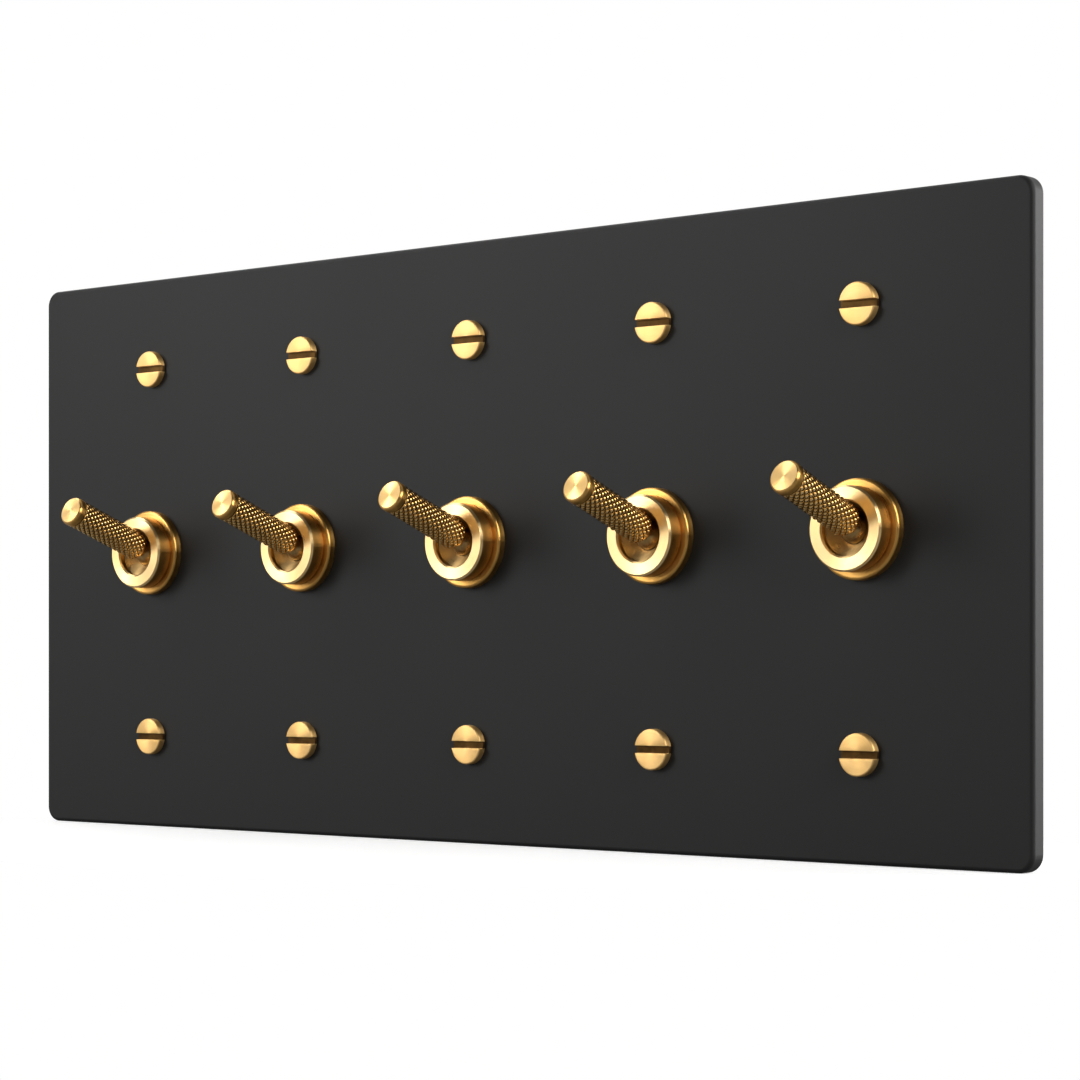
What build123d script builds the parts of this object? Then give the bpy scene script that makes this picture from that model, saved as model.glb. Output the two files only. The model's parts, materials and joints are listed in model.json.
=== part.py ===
from build123d import *
import math
import os

# Five-gang toggle light switch: one face plate, five bushing-mounted toggle switches behind it.
# It is modelled lying on its back: X runs along the row of gangs, Y up the wall and Z out of
# the wall towards the hand, with Z = 0 at the wall's surface and the row's middle at the origin.
# Each piece is stood upright as it is written, so that it ends with Z up and its front facing -Y.

# Row of gangs
gang_count = 5
gang_pitch = 46.04
side_margin = 34.92

# Face plate
plate_height = 118.0
plate_thickness = 3.5
plate_corner_radius = 3.2
plate_front_round = 0.8
plate_back_break = 0.3
plate_web = 2.0
rim_width = 5.0
pocket_corner_radius = 2.0

# Plate screws
screw_spacing = 79.2
screw_head_diameter = 7.7
screw_head_height = 1.5
screw_head_round = 0.35
screw_slot_width = 1.4
screw_slot_depth = 0.85
screw_neck_diameter = 3.0
screw_thread_diameter = 3.5
screw_thread_length = 20.0
screw_point_chamfer = 0.5
screw_hole_clearance = 0.2

# Collar: a dress nut with a stepped outside and a lip over the bushing's mouth
collar_height = 5.2
flange_diameter = 18.0
flange_thickness = 1.75
flange_round = 0.55
ring_diameter = 15.2
ring_chamfer = 0.35
groove_width = 0.3
groove_depth = 0.25
collar_bore = 9.8
collar_bore_chamfer = 0.3
collar_lip = 1.2
thread_clearance = 0.05

# Lever: a straight knurled bat on a ball, with a hollow tail behind the ball
half_throw = 21.0
pivot_height = 1.2
bat_diameter = 6.1
bat_start = 2.7
bat_reach = 23.4
bat_base_round = 1.3
bat_tip_chamfer = 0.4
tip_band_length = 1.6
tip_groove_width = 0.3
tip_groove_depth = 0.15
ball_diameter = 5.6
stud_diameter = 3.0
stud_length = 8.0
stud_fit = 0.02
stud_end_gap = 0.4
tail_diameter = 3.5
tail_length = 11.5

# Cross pin
pin_diameter = 1.2
pin_running_clearance = 0.05
pin_press_clearance = 0.01
pin_end_gap = 0.15

# Bushing
bushing_diameter = 11.9
bushing_flange_diameter = 16.0
bushing_flange_thickness = 1.2
bushing_hole_clearance = 0.15
socket_clearance = 0.1
dish_lip_height = 1.0
dish_rim_overhang = 0.1
nose_gap = 0.2
tail_clearance = 0.3

# Clamp nut behind the plate
nut_across_flats = 15.9
nut_thickness = 2.0
nut_chamfer = 0.4

# Switch frame: a folded steel strap over the case's open front
frame_gap = 0.5
frame_thickness = 1.0
frame_leg_width = 10.0
frame_leg_length = 8.0
frame_hook_depth = 0.9
frame_bend_radius = 0.9

# Switch case
case_width = 22.0
case_height = 36.0
case_wall = 1.8
case_floor = 3.0
case_corner_radius = 1.5
case_slot_clearance = 0.1

# Plunger and spring in the lever's tail
plunger_diameter = 2.1
plunger_length = 6.0
plunger_reach = 14.5
plunger_clearance = 0.05
plunger_bore_depth = 7.5
spring_wire = 0.36
spring_turns = 4
spring_side_gap = 0.06

# See-saw contact
seesaw_half_tilt = 6.0
seesaw_arm_angle = 16.0
seesaw_arm_reach = 10.0
seesaw_width = 5.0
seesaw_thickness = 1.0
seesaw_valley_round = 0.8
seesaw_valley_gap = 0.46
seesaw_ear_thickness = 0.6
seesaw_ear_margin = 0.5
trunnion_diameter = 1.6
trunnion_length = 9.0
trunnion_rise = 0.9
trunnion_clearance = 0.05
rivet_diameter = 3.0
rivet_height = 0.8
rivet_dome_radius = 3.0
rivet_inset = 1.7
contact_gap = 0.08

# Terminals
terminal_thickness = 1.2
terminal_width = 6.0
terminal_tab_length = 9.4
terminal_screw_inset = 4.0
cradle_height = 5.4
cradle_ear_height = 4.0
cradle_base_length = 6.0
cradle_side_clearance = 0.45
load_strip_inset = 3.0
load_pad_height = 0.5
terminal_screw_head_diameter = 5.6
terminal_screw_head_height = 1.5
terminal_screw_head_round = 0.5
terminal_screw_slot_width = 1.0
terminal_screw_slot_depth = 0.7
terminal_screw_diameter = 3.4
terminal_screw_grip = 1.4
terminal_screw_clearance = 0.1

# Heights of the plate's own faces, out of the wall
plate_width = (gang_count - 1) * gang_pitch + 2 * side_margin
plate_front = plate_thickness
web_back = plate_thickness - plate_web

# Collar and bushing
collar_front = plate_front + collar_height
collar_lip_back = collar_front - collar_lip
bushing_radius = bushing_diameter / 2
nose_front = collar_lip_back - nose_gap
pivot_z = plate_front + pivot_height
ball_radius = ball_diameter / 2
socket_radius = ball_radius + socket_clearance
dish_lip_radius = math.sqrt(socket_radius**2 - dish_lip_height**2)
dish_rim_radius = collar_bore / 2 + dish_rim_overhang

# Stack behind the plate: clamp nut, switch frame, bushing flange
nut_back = web_back - nut_thickness
frame_front = nut_back - frame_gap
frame_back = frame_front - frame_thickness
bushing_back = frame_back - bushing_flange_thickness

# The bushing's back opens out just wide enough for the tail's swing
swing = math.radians(half_throw)
flare_depth = pivot_z - bushing_back
flare_radius = (
    flare_depth * math.tan(swing)
    + tail_diameter / 2 / math.cos(swing)
    + tail_clearance
)
flare_start = flare_depth - (flare_radius - socket_radius) / math.tan(swing)

# See-saw: its valley lies just beyond the plunger's tip, its trunnions level with its balance
arm_angle = math.radians(seesaw_arm_angle)
tip_radius = plunger_diameter / 2
valley_z = pivot_z - plunger_reach - (tip_radius + seesaw_valley_gap) / math.cos(arm_angle)
fulcrum_z = valley_z + trunnion_rise
rivet_arm = seesaw_arm_reach - rivet_inset

# Where the lower rivet's dome is lowest once the see-saw has tipped towards it
rest_slope = math.radians(seesaw_arm_angle - seesaw_half_tilt)
tilt = math.radians(seesaw_half_tilt)
dome_drop = seesaw_thickness + rivet_height - rivet_dome_radius
dome_y = -rivet_arm * math.cos(rest_slope) - dome_drop * math.sin(rest_slope)
dome_y += trunnion_rise * math.sin(tilt)
dome_z = rivet_arm * math.sin(rest_slope) - dome_drop * math.cos(rest_slope)
dome_z += fulcrum_z - trunnion_rise * math.cos(tilt)
contact_z = dome_z - rivet_dome_radius - contact_gap
contact_y = -dome_y

# Case and terminals
case_inside = fulcrum_z - cradle_height
case_back = case_inside - case_floor
tab_back = case_back - terminal_thickness
strip_outer = case_height / 2 - case_wall - load_strip_inset
common_leg_y = cradle_base_length / 2
common_screw_y = common_leg_y - terminal_thickness + terminal_tab_length - terminal_screw_inset
load_screw_y = -strip_outer + terminal_tab_length - terminal_screw_inset
screw_tip_z = tab_back + terminal_thickness + terminal_screw_grip

gang_x = [(n - (gang_count - 1) / 2) * gang_pitch for n in range(gang_count)]
screw_xy = [(x, side * screw_spacing / 2) for side in (-1, 1) for x in gang_x]


def outline(corners, rounds):
    """A closed outline through the corners; rounds gives the radius at a corner by its place."""
    radii = [rounds.get(place, 0) for place in range(len(corners))]
    return make_face(FilletPolyline(*corners, radius=radii, close=True))


def turned(corners, rounds={}):
    """A lathe-turned solid about Z, from its section's (radius, height) corners."""
    return revolve(Plane.XZ * outline(corners, rounds), Axis.Z)


def rod(radius, low, high):
    """A round bar along Z between two heights."""
    return Pos(0, 0, low) * extrude(Circle(radius), high - low)


def block(x, y, z):
    """A box between two X, two Y and two Z limits."""
    centre = Pos(sum(x) / 2, sum(y) / 2, sum(z) / 2)
    return centre * Box(x[1] - x[0], y[1] - y[0], z[1] - z[0])


def folded(corners, bends, width):
    """A bent strip of the given width across X, from its section's (y, z) corners."""
    return extrude(Plane.YZ * outline(corners, bends), width / 2, both=True)


def face_plate():
    """Rounded slab with a milled pocket behind it, so that only its rim meets the wall."""
    slab = RectangleRounded(plate_width, plate_height, plate_corner_radius)
    plate = extrude(slab, plate_thickness)
    plate = fillet(plate.edges().group_by(Axis.Z)[-1], plate_front_round)
    plate = chamfer(plate.edges().group_by(Axis.Z)[0], plate_back_break)
    pocket_width = plate_width - 2 * rim_width
    pocket_height = plate_height - 2 * rim_width
    plate -= extrude(RectangleRounded(pocket_width, pocket_height, pocket_corner_radius), web_back)
    bushing_hole = rod(bushing_radius + bushing_hole_clearance, 0, plate_thickness)
    screw_hole = rod(screw_thread_diameter / 2 + screw_hole_clearance, 0, plate_thickness)
    holes = [Pos(x, 0, 0) * bushing_hole for x in gang_x]
    holes += [Pos(x, y, 0) * screw_hole for x, y in screw_xy]
    return plate - holes


def slotted_screw(head_radius, head_height, head_round, slot_width, slot_depth, shank):
    """A slotted screw, head up, with the head's underside at Z = 0."""
    head = turned(
        [(0, 0), (head_radius, 0), (head_radius, head_height), (0, head_height)],
        {2: head_round},
    )
    across = (-head_radius, head_radius)
    slot = (-slot_width / 2, slot_width / 2)
    head -= block(across, slot, (head_height - slot_depth, head_height))
    return head + shank


def plate_screw():
    """Plain neck through the plate, then the thread that reaches into the wall box."""
    thread_radius = screw_thread_diameter / 2
    low = -plate_front - screw_thread_length
    shank = rod(screw_neck_diameter / 2, -plate_front, 0)
    shank += turned(
        [
            (0, low),
            (thread_radius - screw_point_chamfer, low),
            (thread_radius, low + screw_point_chamfer),
            (thread_radius, -plate_front),
            (0, -plate_front),
        ]
    )
    return slotted_screw(
        screw_head_diameter / 2,
        screw_head_height,
        screw_head_round,
        screw_slot_width,
        screw_slot_depth,
        shank,
    )


def terminal_screw():
    """Binding screw, head up, with the head's underside at Z = 0."""
    return slotted_screw(
        terminal_screw_head_diameter / 2,
        terminal_screw_head_height,
        terminal_screw_head_round,
        terminal_screw_slot_width,
        terminal_screw_slot_depth,
        rod(terminal_screw_diameter / 2, -terminal_thickness - terminal_screw_grip, 0),
    )


def collar():
    """Flange, relief groove and ring outside; a lip at the front and the thread's bore inside."""
    flange = flange_diameter / 2
    ring = ring_diameter / 2
    bore = collar_bore / 2
    thread = bushing_radius + thread_clearance
    flange_top = plate_front + flange_thickness
    groove = ring - groove_depth
    groove_top = flange_top + groove_width
    return turned(
        [
            (thread, plate_front),
            (flange, plate_front),
            (flange, flange_top),
            (groove, flange_top),
            (groove, groove_top),
            (ring, groove_top),
            (ring, collar_front - ring_chamfer),
            (ring - ring_chamfer, collar_front),
            (bore + collar_bore_chamfer, collar_front),
            (bore, collar_front - collar_bore_chamfer),
            (bore, collar_lip_back),
            (thread, collar_lip_back),
        ],
        {2: flange_round},
    )


def bushing():
    """Threaded bushing: dished mouth, ball socket, tail flare and a flange behind the frame."""
    flange = bushing_flange_diameter / 2
    body = turned(
        [
            (socket_radius, pivot_z - flare_start),
            (flare_radius, bushing_back),
            (flange, bushing_back),
            (flange, frame_back),
            (bushing_radius, frame_back),
            (bushing_radius, nose_front),
            (dish_rim_radius, nose_front),
            (dish_lip_radius, pivot_z + dish_lip_height),
            (dish_lip_radius, pivot_z),
            (socket_radius, pivot_z),
        ]
    )
    body -= Pos(0, 0, pivot_z) * Sphere(socket_radius)
    cross_hole = rod(pin_diameter / 2 + pin_press_clearance, -bushing_radius, bushing_radius)
    return body - Pos(0, 0, pivot_z) * Rot(0, 90, 0) * cross_hole


def pivot_pin():
    """Cross pin through the bushing and the lever's ball, covered by the collar."""
    half = bushing_radius - pin_end_gap
    return Pos(0, 0, pivot_z) * Rot(0, 90, 0) * rod(pin_diameter / 2, -half, half)


def on_lever(piece):
    """Places a piece made along the lever's own axis, at the lever's upper rest."""
    return Pos(0, 0, pivot_z) * Rot(-half_throw, 0, 0) * piece


def lever():
    """Knurled bat: rounded foot, knurl land, fine groove, plain tip band and faced end."""
    radius = bat_diameter / 2
    stud = stud_diameter / 2 + stud_fit
    stud_top = bat_start + stud_length
    band_start = bat_reach - tip_band_length
    groove_start = band_start - tip_groove_width
    groove = radius - tip_groove_depth
    return on_lever(
        turned(
            [
                (stud, bat_start),
                (radius, bat_start),
                (radius, groove_start),
                (groove, groove_start),
                (groove, band_start),
                (radius, band_start),
                (radius, bat_reach - bat_tip_chamfer),
                (radius - bat_tip_chamfer, bat_reach),
                (0, bat_reach),
                (0, stud_top),
                (stud, stud_top),
            ],
            {1: bat_base_round},
        )
    )


def pivot_ball():
    """Ball with the stud that carries the bat and the hollow tail that holds the plunger."""
    stud_top = bat_start + stud_length - stud_end_gap
    bore = plunger_diameter / 2 + plunger_clearance
    body = Sphere(ball_radius) + rod(stud_diameter / 2, 0, stud_top)
    body += rod(tail_diameter / 2, -tail_length, 0)
    body -= rod(bore, -tail_length, plunger_bore_depth - tail_length)
    pin_hole = rod(pin_diameter / 2 + pin_running_clearance, -ball_radius, ball_radius)
    return on_lever(body - Rot(0, 90, 0) * pin_hole)


def plunger():
    """Round-nosed plunger that slides in the tail and works the see-saw."""
    body = rod(tip_radius, -plunger_reach, plunger_length - plunger_reach)
    return on_lever(body + Pos(0, 0, -plunger_reach) * Sphere(tip_radius))


def plunger_spring():
    """Coil spring between the plunger and the blind end of the tail's bore."""
    bore = plunger_diameter / 2 + plunger_clearance
    coil_radius = bore - spring_side_gap - spring_wire / 2
    low = plunger_length - plunger_reach + spring_wire
    high = plunger_bore_depth - tail_length - spring_wire
    path = Helix((high - low) / spring_turns, high - low, coil_radius)
    section = Plane(path @ 0, z_dir=path % 0) * Circle(spring_wire / 2)
    return on_lever(Pos(0, 0, low) * sweep(section, path=path, is_frenet=True))


def clamp_nut():
    """Thin hexagon nut against the back of the plate, chamfered on the side that shows."""
    apothem = nut_across_flats / 2
    corner = apothem / math.cos(math.pi / 6)
    hexagon = extrude(RegularPolygon(apothem, 6, major_radius=False), nut_thickness)
    envelope = turned(
        [
            (bushing_radius + thread_clearance, 0),
            (apothem, 0),
            (corner, nut_chamfer),
            (corner, nut_thickness),
            (bushing_radius + thread_clearance, nut_thickness),
        ]
    )
    return Pos(0, 0, nut_back) * (hexagon & envelope)


def switch_frame():
    """Folded steel strap: a front plate round the bushing and two legs hooked into the case."""
    half = case_height / 2
    outside = half + frame_thickness
    hook_top = frame_front - frame_leg_length
    hook_back = hook_top - frame_thickness
    hook_end = half - frame_hook_depth
    frame = block((-case_width / 2, case_width / 2), (-half, half), (frame_back, frame_front))
    leg = folded(
        [
            (0, frame_front),
            (outside, frame_front),
            (outside, hook_back),
            (hook_end, hook_back),
            (hook_end, hook_top),
            (half, hook_top),
            (half, frame_back),
            (0, frame_back),
        ],
        {1: frame_bend_radius, 2: frame_bend_radius},
        frame_leg_width,
    )
    frame += leg + mirror(leg, Plane.XZ)
    return frame - rod(bushing_radius + thread_clearance, frame_back, frame_front)


def switch_case():
    """Moulded box, open at the front, with a stop post, terminal slots and hook pockets."""
    outer = RectangleRounded(case_width, case_height, case_corner_radius)
    case = Pos(0, 0, case_back) * extrude(outer, frame_back - case_back)
    inner = Rectangle(case_width - 2 * case_wall, case_height - 2 * case_wall)
    case -= Pos(0, 0, case_inside) * extrude(inner, frame_back - case_inside)
    case += Pos(0, contact_y, 0) * rod(rivet_diameter / 2, case_inside, contact_z)
    hook_top = frame_front - frame_leg_length + case_slot_clearance
    hook_back = hook_top - frame_thickness - 2 * case_slot_clearance
    hook_end = case_height / 2 - frame_hook_depth - case_slot_clearance
    half_leg = frame_leg_width / 2 + case_slot_clearance
    half_slot = terminal_width / 2 + case_slot_clearance
    pocket = block((-half_leg, half_leg), (hook_end, case_height / 2), (hook_back, hook_top))
    case -= pocket + mirror(pocket, Plane.XZ)
    screw_hole = rod(
        terminal_screw_diameter / 2 + terminal_screw_clearance,
        case_back,
        screw_tip_z + terminal_screw_clearance,
    )
    for leg_y, screw_y in (
        (common_leg_y - terminal_thickness, common_screw_y),
        (-strip_outer, load_screw_y),
    ):
        slot_y = (leg_y - case_slot_clearance, leg_y + terminal_thickness + case_slot_clearance)
        case -= block((-half_slot, half_slot), slot_y, (case_back, case_inside))
        case -= Pos(0, screw_y, 0) * screw_hole
    return case


def contact_rivet():
    """Domed contact rivet standing on Z = 0, with its dome upwards."""
    radius = rivet_diameter / 2
    disc = rod(radius, 0, rivet_height)
    return disc & Pos(0, 0, rivet_height - rivet_dome_radius) * Sphere(rivet_dome_radius)


def see_saw():
    """Bent contact strip, tipped towards the load contact, with a trunnion on each folded ear."""
    rise = seesaw_arm_reach * math.tan(arm_angle)
    drop = seesaw_thickness / math.cos(arm_angle)
    top = -trunnion_rise
    strip = folded(
        [
            (-seesaw_arm_reach, top + rise),
            (0, top),
            (seesaw_arm_reach, top + rise),
            (seesaw_arm_reach, top + rise - drop),
            (0, top - drop),
            (-seesaw_arm_reach, top + rise - drop),
        ],
        {1: seesaw_valley_round},
        seesaw_width,
    )
    edge = seesaw_width / 2
    ear_inner = edge - seesaw_ear_thickness
    ear_half = trunnion_diameter / 2 + seesaw_ear_margin
    ear = block((ear_inner, edge), (-ear_half, ear_half), (top - drop / 2, ear_half))
    ear += Rot(0, 90, 0) * rod(trunnion_diameter / 2, ear_inner, trunnion_length / 2)
    strip += ear + mirror(ear, Plane.YZ)
    for side in (-1, 1):
        along_arm = Pos(0, 0, top) * Rot(side * seesaw_arm_angle, 0, 0)
        underside = Pos(0, side * rivet_arm, -seesaw_thickness) * Rot(180, 0, 0)
        strip += along_arm * underside * contact_rivet()
    return Pos(0, 0, fulcrum_z) * Rot(seesaw_half_tilt, 0, 0) * strip


def terminal_tab(leg_y):
    """Leg through the case's floor and the bent tab outside it, tapped for its screw."""
    across = (-terminal_width / 2, terminal_width / 2)
    leg = block(across, (leg_y, leg_y + terminal_thickness), (tab_back, case_inside))
    tab = block(across, (leg_y, leg_y + terminal_tab_length), (tab_back, case_back))
    hole_y = leg_y + terminal_tab_length - terminal_screw_inset
    return leg + tab - Pos(0, hole_y, 0) * rod(terminal_screw_diameter / 2, tab_back, case_back)


def common_terminal():
    """Cradle that carries the see-saw's trunnions, with its tab through the floor."""
    ear_inner = seesaw_width / 2 + cradle_side_clearance
    ear_outer = ear_inner + terminal_thickness
    half_base = cradle_base_length / 2
    half_ear = cradle_ear_height / 2
    base = block(
        (-ear_outer, ear_outer),
        (-half_base, half_base),
        (case_inside, case_inside + terminal_thickness),
    )
    ear = block((ear_inner, ear_outer), (-half_ear, half_ear), (case_inside, fulcrum_z))
    cradle = base + ear + mirror(ear, Plane.YZ)
    notch = rod(trunnion_diameter / 2 + trunnion_clearance, -ear_outer, ear_outer)
    cradle -= Pos(0, 0, fulcrum_z) * Rot(0, 90, 0) * notch
    return cradle + terminal_tab(common_leg_y - terminal_thickness)


def load_terminal():
    """Upright strip with a contact shelf under the see-saw's lower rivet."""
    across = (-terminal_width / 2, terminal_width / 2)
    shelf_top = contact_z - load_pad_height
    shelf_back = shelf_top - terminal_thickness
    strip_y = (-strip_outer, -strip_outer + terminal_thickness)
    shelf_y = (-strip_outer, -contact_y + rivet_diameter / 2)
    strip = block(across, strip_y, (case_inside, shelf_top))
    shelf = block(across, shelf_y, (shelf_back, shelf_top))
    pad = Pos(0, -contact_y, 0) * rod(rivet_diameter / 2, shelf_top, contact_z)
    return strip + shelf + pad + terminal_tab(-strip_outer)


def write(node, solids):
    """Stands the piece upright on the wall and writes it under its node's name."""
    upright = [Plane.XZ * solid for part in solids for solid in part.solids()]
    export_step(upright[0] if len(upright) == 1 else Compound(upright), f"parts/{node}.step")


os.makedirs("parts", exist_ok=True)

write("face_plate", [face_plate()])
one_screw = plate_screw()
write("plate_screws", [Pos(x, y, plate_front) * one_screw for x, y in screw_xy])

one_pin = pivot_pin()
write("pivot_pins", [Pos(x, 0, 0) * one_pin for x in gang_x])
one_nut = clamp_nut()
write("clamp_nuts", [Pos(x, 0, 0) * one_nut for x in gang_x])
seated_screw = Pos(0, 0, tab_back) * Rot(180, 0, 0) * terminal_screw()
terminal_xy = [(x, y) for x in gang_x for y in (common_screw_y, load_screw_y)]
write("terminal_screws", [Pos(x, y, 0) * seated_screw for x, y in terminal_xy])

unit = {
    "collar": collar(),
    "lever": lever(),
    "pivot_ball": pivot_ball(),
    "bushing": bushing(),
    "switch_frame": switch_frame(),
    "switch_case": switch_case(),
    "plunger": plunger(),
    "plunger_spring": plunger_spring(),
    "see_saw": see_saw(),
    "common_terminal": common_terminal(),
    "load_terminal": load_terminal(),
}
for number, x in enumerate(gang_x, start=1):
    for name, piece in unit.items():
        write(f"{name}_{number}", [Pos(x, 0, 0) * piece])
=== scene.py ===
import json
import math

import bpy
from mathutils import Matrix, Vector


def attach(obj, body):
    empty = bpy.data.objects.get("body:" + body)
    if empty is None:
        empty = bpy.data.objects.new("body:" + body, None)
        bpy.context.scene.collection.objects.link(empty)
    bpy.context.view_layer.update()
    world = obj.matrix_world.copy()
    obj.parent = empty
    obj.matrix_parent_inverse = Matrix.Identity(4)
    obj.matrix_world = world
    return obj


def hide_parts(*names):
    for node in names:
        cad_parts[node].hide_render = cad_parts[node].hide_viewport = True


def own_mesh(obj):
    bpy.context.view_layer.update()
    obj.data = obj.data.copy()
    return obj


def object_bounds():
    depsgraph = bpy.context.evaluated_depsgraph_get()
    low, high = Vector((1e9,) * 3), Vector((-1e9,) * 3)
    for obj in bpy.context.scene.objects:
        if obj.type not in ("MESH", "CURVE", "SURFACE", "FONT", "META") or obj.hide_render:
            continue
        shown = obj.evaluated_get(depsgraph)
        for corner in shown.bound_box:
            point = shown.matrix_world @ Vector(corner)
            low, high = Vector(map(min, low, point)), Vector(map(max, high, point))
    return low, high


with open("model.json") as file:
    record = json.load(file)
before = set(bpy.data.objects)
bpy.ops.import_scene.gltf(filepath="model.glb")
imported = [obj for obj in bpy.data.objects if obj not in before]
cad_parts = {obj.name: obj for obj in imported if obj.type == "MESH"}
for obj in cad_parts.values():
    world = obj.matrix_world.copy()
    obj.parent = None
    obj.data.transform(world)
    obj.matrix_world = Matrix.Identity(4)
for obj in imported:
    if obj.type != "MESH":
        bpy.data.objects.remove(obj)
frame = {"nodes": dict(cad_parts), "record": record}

cad_low, cad_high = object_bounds()

# Sizes that follow the solids, in metres
MM = 0.001
GANGS = (1, 2, 3, 4, 5)
MIDDLE_GANG = 3
GANG_PITCH = 46.04 * MM
PLATE_FRONT = -3.5 * MM
COLLAR_FRONT = -8.7 * MM
SCREW_RISE = 39.6 * MM
PIVOT_Y = -4.7 * MM
LEVER_LEAN = math.radians(69.0)
LEVER_AXIS = (0.0, -math.sin(LEVER_LEAN), math.cos(LEVER_LEAN))

# Lever, measured from its pivot along its own axis
BAT_RADIUS = 3.05 * MM
BAT_START = 2.7 * MM
BAT_REACH = 23.4 * MM
FOOT_ROUND = 1.12 * MM
FOOT_UNDERCUT = 0.02 * MM
TIP_BAND = 1.6 * MM
TIP_ROUND = 0.75 * MM
TIP_TURN = 62.0
TIP_GROOVE_RADIUS = 2.72 * MM
TIP_GROOVE = 0.3 * MM
BAND_START = BAT_REACH - TIP_BAND
BAND_CHAMFER = 0.06 * MM
STUD_RADIUS = 1.52 * MM
STUD_TOP = 10.7 * MM
LEVER_STEPS = 96

# Knurl: each slope is an inset and a rise on the way up to a diamond's crown
KNURL_DEPTH = 0.31 * MM
KNURL_ROOT = BAT_RADIUS - KNURL_DEPTH
KNURL_START = 3.75 * MM
KNURL_END = BAND_START - TIP_GROOVE
KNURL_CELLS = 15
KNURL_ROWS = 12
KNURL_SLOPES = (
    (0.10 * MM, 0.16 * MM),
    (0.11 * MM, 0.09 * MM),
    (0.11 * MM, 0.045 * MM),
    (0.07 * MM, 0.015 * MM),
)
SLEEVE_WALL = 0.35 * MM
SLEEVE_GAP = 0.01 * MM

# Spring in the lever's tail, measured from the pivot along the lever's axis
SPRING_WIRE = 0.36 * MM
SPRING_COIL = 0.86 * MM
SPRING_LOW = -8.14 * MM
SPRING_HIGH = -4.36 * MM
SPRING_TURNS = 4
SPRING_STEPS = 28
WIRE_SIDES = 12

# Plate screws, measured outwards from the plate's front
HEAD_RADIUS = 3.85 * MM
HEAD_HEIGHT = 1.5 * MM
HEAD_ROUND = 0.35 * MM
HEAD_CHAMFER = 0.05 * MM
SLOT_WIDTH = 1.4 * MM
SLOT_DEPTH = 0.85 * MM
SLOT_FLOOR = HEAD_HEIGHT - SLOT_DEPTH
BREAK_EDGE = 0.16 * MM
NECK_RADIUS = 1.5 * MM
NECK_LENGTH = 3.5 * MM
SCREW_STEPS = 72

# Their thread, whose ridge widths are shares of its pitch
THREAD_RADIUS = 1.75 * MM
THREAD_ROOT = 1.33 * MM
THREAD_PITCH = 0.79 * MM
THREAD_LENGTH = 20.0 * MM
THREAD_LEAD = 0.6
THREAD_HALF_FOOT = 0.42
THREAD_HALF_CREST = 0.08
THREAD_BURY = 0.05 * MM
THREAD_STEPS = 20
POINT_CHAMFER = 0.5 * MM

# Distances within which points count as one, or as lying on a line
MERGE = 1e-7
SEAM_MERGE = 2e-6
NEAR = 1e-6


# Modelling helpers

def pick(piece):
    """Selects one object and nothing else."""
    if bpy.context.object and bpy.context.object.mode != "OBJECT":
        bpy.ops.object.mode_set(mode="OBJECT")
    bpy.ops.object.select_all(action="DESELECT")
    piece.select_set(True)
    bpy.context.view_layer.objects.active = piece


def edit(piece):
    """Opens a piece in edit mode, by its points, with all of it selected."""
    pick(piece)
    bpy.ops.object.mode_set(mode="EDIT")
    bpy.ops.mesh.select_mode(type="VERT")
    bpy.ops.mesh.select_all(action="SELECT")


def done():
    """Leaves edit mode."""
    bpy.ops.object.mode_set(mode="OBJECT")


def choose(piece, kind, wanted):
    """Opens a piece in edit mode with just those points, edges or faces selected that are wanted."""
    edit(piece)
    bpy.ops.mesh.select_mode(type=kind)
    bpy.ops.mesh.select_all(action="DESELECT")
    done()
    mesh = piece.data
    if kind == "FACE":
        for face in mesh.polygons:
            face.select = wanted(face.center)
    elif kind == "EDGE":
        for line in mesh.edges:
            line.select = wanted(*(mesh.vertices[point].co for point in line.vertices))
    else:
        for point in mesh.vertices:
            point.select = wanted(point.co)
    bpy.ops.object.mode_set(mode="EDIT")


def outwards():
    """Turns all faces of the piece in edit mode outwards, and leaves edit mode."""
    bpy.ops.mesh.select_all(action="SELECT")
    bpy.ops.mesh.normals_make_consistent(inside=False)
    done()


def settle(piece):
    """Moves a piece's place, turn and scale into its mesh."""
    pick(piece)
    bpy.ops.object.transform_apply(location=True, rotation=True, scale=True)


def apply(piece, modifier):
    """Makes one modifier part of its piece's mesh."""
    pick(piece)
    bpy.ops.object.modifier_apply(modifier=modifier.name)


def bow(centre_r, centre_z, radius, start, end, steps):
    """Points of a rounded corner in a turned section, between two angles in degrees."""
    points = []
    for step in range(steps + 1):
        angle = math.radians(start + (end - start) * step / steps)
        points.append((centre_r + radius * math.cos(angle), centre_z + radius * math.sin(angle)))
    return points


def drawn(name, section):
    """Draws a line through (radius, height) points, and leaves it selected in edit mode."""
    bpy.ops.object.select_all(action="DESELECT")
    bpy.ops.mesh.primitive_plane_add(size=MM)
    line = bpy.context.object
    line.name = name
    edit(line)
    bpy.ops.mesh.merge(type="CENTER")
    radius, height = section[0]
    bpy.ops.transform.translate(value=(radius, 0, height))
    for next_radius, next_height in section[1:]:
        step = (next_radius - radius, 0, next_height - height)
        bpy.ops.mesh.extrude_vertices_move(TRANSFORM_OT_translate={"value": step})
        radius, height = next_radius, next_height
    bpy.ops.mesh.select_all(action="SELECT")
    return line


def turned_bar(name, section, steps):
    """Draws a section and spins it about Z into a closed solid."""
    bar = drawn(name, section)
    bpy.ops.mesh.spin(steps=steps, angle=math.tau, center=(0, 0, 0), axis=(0, 0, 1))
    bpy.ops.mesh.select_all(action="SELECT")
    bpy.ops.mesh.remove_doubles(threshold=MERGE)
    outwards()
    return bar


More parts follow.
